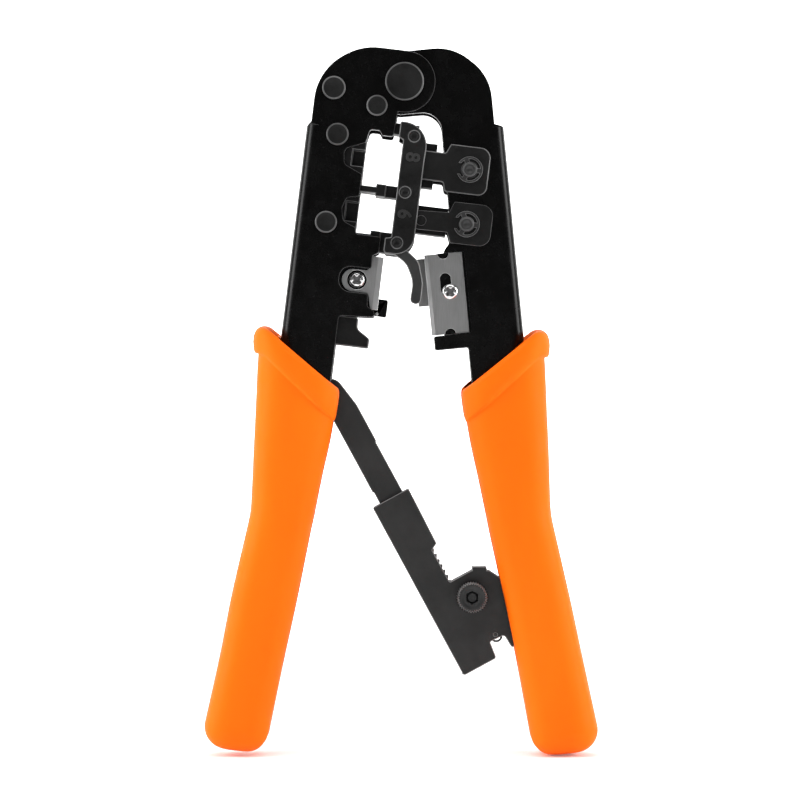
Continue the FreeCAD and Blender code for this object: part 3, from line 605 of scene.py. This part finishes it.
def rivets():
    """The left cheeks' four rivets, and the main pivot."""
    heads = []
    for i, (x, z, head) in enumerate(FRAME_RIVETS):
        heads.append(rivet_mesh("rivet_%d" % i, (x, 0, z), head, RIVET_SHANK, LEFT_LEAN, 0.12))
    piece = joined("frame_rivet_details", heads, "left_handle")
    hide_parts("frame_rivets")
    pivot = rivet_mesh("pivot", (0, 0, 0), PIVOT_HEAD, PIVOT_SHANK, 0, 0.15)
    piece = joined("pivot_rivet_detail", [pivot], "left_handle")
    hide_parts("pivot_rivet")


# Link hinges on the right handle at rest, in the left handle's own plane
RAM_PINS = ((21.3, -22.5), (22.3, -37.9))
PIN_RADIUS = 2.1
GROOVE_RADIUS = 1.78


def ram_pins():
    """Pins with a hollow centre, chamfered ends and a groove behind each end for its clip."""
    half = (
        (0.5, 8.45),
        (0.95, 9.0),
        (1.2, 9.0),
        (1.3, 8.9),
        (1.55, 9.05),
        (1.85, 9.1),
        (PIN_RADIUS, 8.9),
        (PIN_RADIUS, 8.76),
        (GROOVE_RADIUS, 8.74),
        (GROOVE_RADIUS, 8.16),
        (PIN_RADIUS, 8.14),
    )
    pins = []
    for i, (x, z) in enumerate(RAM_PINS):
        # Rows 4 and 5, the chamfered end, take the painted highlight.
        pins.append(turned_pin("pin_%d" % i, half, 48, (x, 0, z), LEFT_LEAN, PIN_FACE, (4, 5)))
    piece = joined("ram_pin_details", pins, "right_handle")
    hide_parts("ram_pins")


KNOB_RADIUS = 4.4
KNOB_SEAT = -3.5  # depth of the knob's rear face
KNURLS = 36
KNURL_POINTS = 4
KNURL_DEPTH = 0.42
CHAMFER = 0.4
# The chamfer's row is painted lighter than the knob: a painted highlight on the notched rim.
CHAMFER_ROW = 6  # row of faces of the notched rim's chamfer


def knob():
    """Knurled release knob: notched rim, turned face and a six-sided socket round its shaft."""
    low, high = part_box("release_knob")
    front = low[1] / MM
    rear = high[1] / MM
    # The knob is the widest part of its node, so the middle of the box is its axis.
    axis = middle_of("release_knob")
    place = ((axis.x - PIVOT.x) / MM, 0, (axis.z - PIVOT.z) / MM)
    count = KNURLS * KNURL_POINTS
    seat = ((1.0, rear), (1.0, KNOB_SEAT), (1.6, KNOB_SEAT), (KNOB_RADIUS - 0.5, KNOB_SEAT))
    rings = [[row] * count for row in seat]
    rings.append([(KNOB_RADIUS - 0.25, KNOB_SEAT - 0.1)] * count)
    for inset, reach in ((0.0, KNOB_SEAT - 0.5), (0.0, front + 0.5), (CHAMFER, front + 0.1)):
        ring = []
        for i in range(count):
            notch = KNURL_DEPTH * (0.5 + 0.5 * math.cos(2 * math.pi * i / KNURL_POINTS))
            ring.append((KNOB_RADIUS - inset - notch, reach))
        rings.append(ring)
    rings.append([(KNOB_RADIUS - CHAMFER - KNURL_DEPTH - 0.01, front)] * count)
    for radius, rise in ((3.0, 0.0), (2.8, 0.12), (2.2, 0.12)):
        rings.append([(radius, front + rise)] * count)
    for radius, reach in ((1.95, front + 0.05), (1.85, front + 0.35), (1.8, front + 1.8)):
        ring = []
        for i in range(count):
            angle = 2 * math.pi * i / count
            local = (angle + math.pi / 6) % (math.pi / 3) - math.pi / 6
            ring.append((radius * math.cos(math.pi / 6) / math.cos(local) * 1.06, reach))
        rings.append(ring)
    shaft = ((1.35, front + 1.8), (1.3, front + 0.9), (1.1, front + 0.75))
    rings += [[row] * count for row in shaft]
    # The chamfer row takes the lighter material, a painted highlight.
    mesh = skin("release_knob_detail", turned_rings(rings, place, 1, 0), [RATCHET, CLIP_WEAR_AND_HIGHLIGHT], [CHAMFER_ROW])
    piece = add_piece("release_knob_detail", mesh, "release")
    piece.modifiers.new("normals", "WEIGHTED_NORMAL").keep_sharp = True
    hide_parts("release_knob")


# ---------------------------------------------------------------- cast numerals

FIGURE_SIZE = 5.4


def numeral(name, figure, x, z):
    """Generic position number cast in relief on the front bridge, reading downwards, in a tone painted
    lighter than the bridge as a highlight.
    """
    curve = bpy.data.curves.new(name, "FONT")
    curve.body = figure
    curve.size = FIGURE_SIZE
    curve.align_x = "CENTER"
    curve.align_y = "CENTER"
    curve.extrude = 0.12
    curve.offset = 0.06
    curve.bevel_depth = 0.07
    curve.bevel_resolution = 2
    text = bpy.data.objects.new(name + "_curve", curve)
    bpy.context.scene.collection.objects.link(text)
    bpy.context.view_layer.update()
    mesh = bpy.data.meshes.new_from_object(text.evaluated_get(bpy.context.evaluated_depsgraph_get()))
    bpy.data.objects.remove(text)
    for vertex in mesh.vertices:
        across, up, out = vertex.co
        vertex.co = leaned((x + up, BRIDGE_FACE - out, z - across), LEFT_LEAN)
    mesh.materials.clear()
    mesh.materials.append(RELIEF_HIGHLIGHT)
    add_piece(name, mesh, "left_handle")


grip("grip_left_shell", LEFT_WALLS, -1, LEFT_LEAN, "left_grip", "left_handle", LEFT_SLOT)
grip("grip_right_shell", RIGHT_WALLS, 1, RIGHT_LEAN, "right_grip", "right_handle", RIGHT_SLOT)
screw("left_screw_detail", "left_blade_screw", "left_handle", LEFT_LEAN, LEFT_SCREW, -1, 8, 0.9)
screw("cutter_screw_detail", "cutter_screw", "right_handle", RIGHT_LEAN, CUTTER_SCREW, -1, 4, 0.6)
screw("rear_screw_detail", "rear_blade_screw", "right_handle", RIGHT_LEAN, REAR_SCREW, 1, 4, 0.3)
rivets()
ram_pins()
knob()
numeral("figure_8", "8", 4.75, -21.1)
numeral("figure_6", "6", 4.4, -37.3)

# Nodes that one of the pieces above stands in for
REPLACED = {
    "left_grip", "right_grip", "left_blade_screw", "cutter_screw", "rear_blade_screw",
    "frame_rivets", "pivot_rivet", "ram_pins", "release_knob",
}
for entry in frame["record"]["subparts"]:
    if entry["node"] not in REPLACED:
        finish_node(entry["node"], OWN_FINISH.get(entry["node"], entry["material_slot"]))


# ---------------------------------------------------------------- floor, light and camera

# The stage, in metres and watts
FLOOR_FRONT = -2.2
WALL_DEPTH = 1.6
WALL_HEIGHT = 3.0
WALL_REACH = 3.0  # to each side
BEND_RADIUS = 0.6
BEND_STEPS = 16
GLOW_NEAR = (0.3, 0.12)  # distance from the tool, and strength of the paper's own glow there
GLOW_FAR = (1.3, 0.9)

TOOL_MIDDLE = (0, 0, 0.1)
# Name, place, target, width and height, power
SOFT_BOXES = (
    ("left_box", (-0.95, -0.14, 0.40), TOOL_MIDDLE, (0.4, 0.9), 10.5),
    ("right_box", (0.95, -0.14, 0.35), TOOL_MIDDLE, (0.4, 0.9), 10.0),
    ("top_box", (0, -0.2, 1.0), TOOL_MIDDLE, (1.2, 0.8), 4.0),
    ("front_box", (-0.2, -0.85, 1.15), TOOL_MIDDLE, (1.4, 0.6), 6.5),
    ("wall_box", (0, 0.6, 1.3), (0, 1.6, 0.5), (2.4, 1.0), 14),
)
SURROUNDINGS = 0.12  # strength of the light that the white surroundings give the tool

CAMERA_DISTANCE = 1.0
CAMERA_LENS = 159.3  # millimetres
CAMERA_OFFSET = Vector((-1.3, 0, -90.0)) * MM  # from the pivot


def backdrop():
    """Pale floor that curves up into a wall behind the tool, and glows more the farther it is."""
    builder = bmesh.new()
    bend = WALL_DEPTH - BEND_RADIUS
    profile = [(FLOOR_FRONT, 0.0), (bend, 0.0)]
    for i in range(1, BEND_STEPS + 1):
        angle = math.pi / 2 * i / BEND_STEPS
        profile.append((bend + BEND_RADIUS * math.sin(angle), BEND_RADIUS - BEND_RADIUS * math.cos(angle)))
    profile.append((WALL_DEPTH, WALL_HEIGHT))
    rows = [[builder.verts.new((x, y, z)) for y, z in profile] for x in (-WALL_REACH, WALL_REACH)]
    for i in range(len(profile) - 1):
        builder.faces.new((rows[0][i], rows[1][i], rows[1][i + 1], rows[0][i + 1]))
    mesh = bpy.data.meshes.new("backdrop")
    builder.to_mesh(mesh)
    builder.free()
    for face in mesh.polygons:
        face.use_smooth = True
    material, nodes, links, shader = bare_material("backdrop_paper")
    shader.inputs["Base Color"].default_value = grey(0.93)
    shader.inputs["Roughness"].default_value = 0.9
    shader.inputs["Specular IOR Level"].default_value = 0.1
    shader.inputs["Emission Color"].default_value = grey(1.0)
    place = nodes.new("ShaderNodeTexCoord")
    distance = nodes.new("ShaderNodeVectorMath")
    distance.operation = "LENGTH"
    links.new(place.outputs["Object"], distance.inputs[0])
    glow = nodes.new("ShaderNodeMapRange")
    glow.interpolation_type = "SMOOTHSTEP"
    glow.inputs["From Min"].default_value = GLOW_NEAR[0]
    glow.inputs["From Max"].default_value = GLOW_FAR[0]
    glow.inputs["To Min"].default_value = GLOW_NEAR[1]
    glow.inputs["To Max"].default_value = GLOW_FAR[1]
    links.new(distance.outputs["Value"], glow.inputs["Value"])
    links.new(glow.outputs["Result"], shader.inputs["Emission Strength"])
    mesh.materials.append(material)
    paper = bpy.data.objects.new("backdrop", mesh)
    bpy.context.scene.collection.objects.link(paper)


def area_light(name, place, target, size, power):
    """Soft box that faces its target."""
    data = bpy.data.lights.new(name, "AREA")
    data.shape = "RECTANGLE"
    data.size, data.size_y = size
    data.energy = power
    lamp = bpy.data.objects.new(name, data)
    lamp.location = place
    aim = Vector(target) - Vector(place)
    lamp.rotation_euler = aim.to_track_quat("-Z", "Y").to_euler()
    bpy.context.scene.collection.objects.link(lamp)


def lights():
    """White surroundings that light the tool only weakly, and soft boxes beside and above the camera."""
    world = bpy.data.worlds.new("studio")
    world.use_nodes = True
    nodes, links = world.node_tree.nodes, world.node_tree.links
    dim = nodes["Background"]
    dim.inputs["Color"].default_value = grey(1.0)
    dim.inputs["Strength"].default_value = SURROUNDINGS
    plain = nodes.new("ShaderNodeBackground")
    plain.inputs["Color"].default_value = grey(1.0)
    plain.inputs["Strength"].default_value = 1.0
    path = nodes.new("ShaderNodeLightPath")
    mix = nodes.new("ShaderNodeMixShader")
    links.new(path.outputs["Is Camera Ray"], mix.inputs["Fac"])
    links.new(dim.outputs["Background"], mix.inputs[1])
    links.new(plain.outputs["Background"], mix.inputs[2])
    links.new(mix.outputs["Shader"], nodes["World Output"].inputs["Surface"])
    bpy.context.scene.world = world
    for box in SOFT_BOXES:
        area_light(*box)
    bpy.context.scene.view_settings.view_transform = "Standard"


def camera():
    """Level view of the front from a metre away."""
    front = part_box("left_frame")[0][1]
    data = bpy.data.cameras.new("camera")
    data.sensor_width = 36
    data.lens = CAMERA_LENS
    view = bpy.data.objects.new("camera", data)
    view.location = PIVOT + CAMERA_OFFSET
    view.location.y = front - CAMERA_DISTANCE
    view.rotation_euler = Euler((math.radians(90), 0, 0))
    bpy.context.scene.collection.objects.link(view)
    bpy.context.scene.camera = view


backdrop()
lights()
camera()
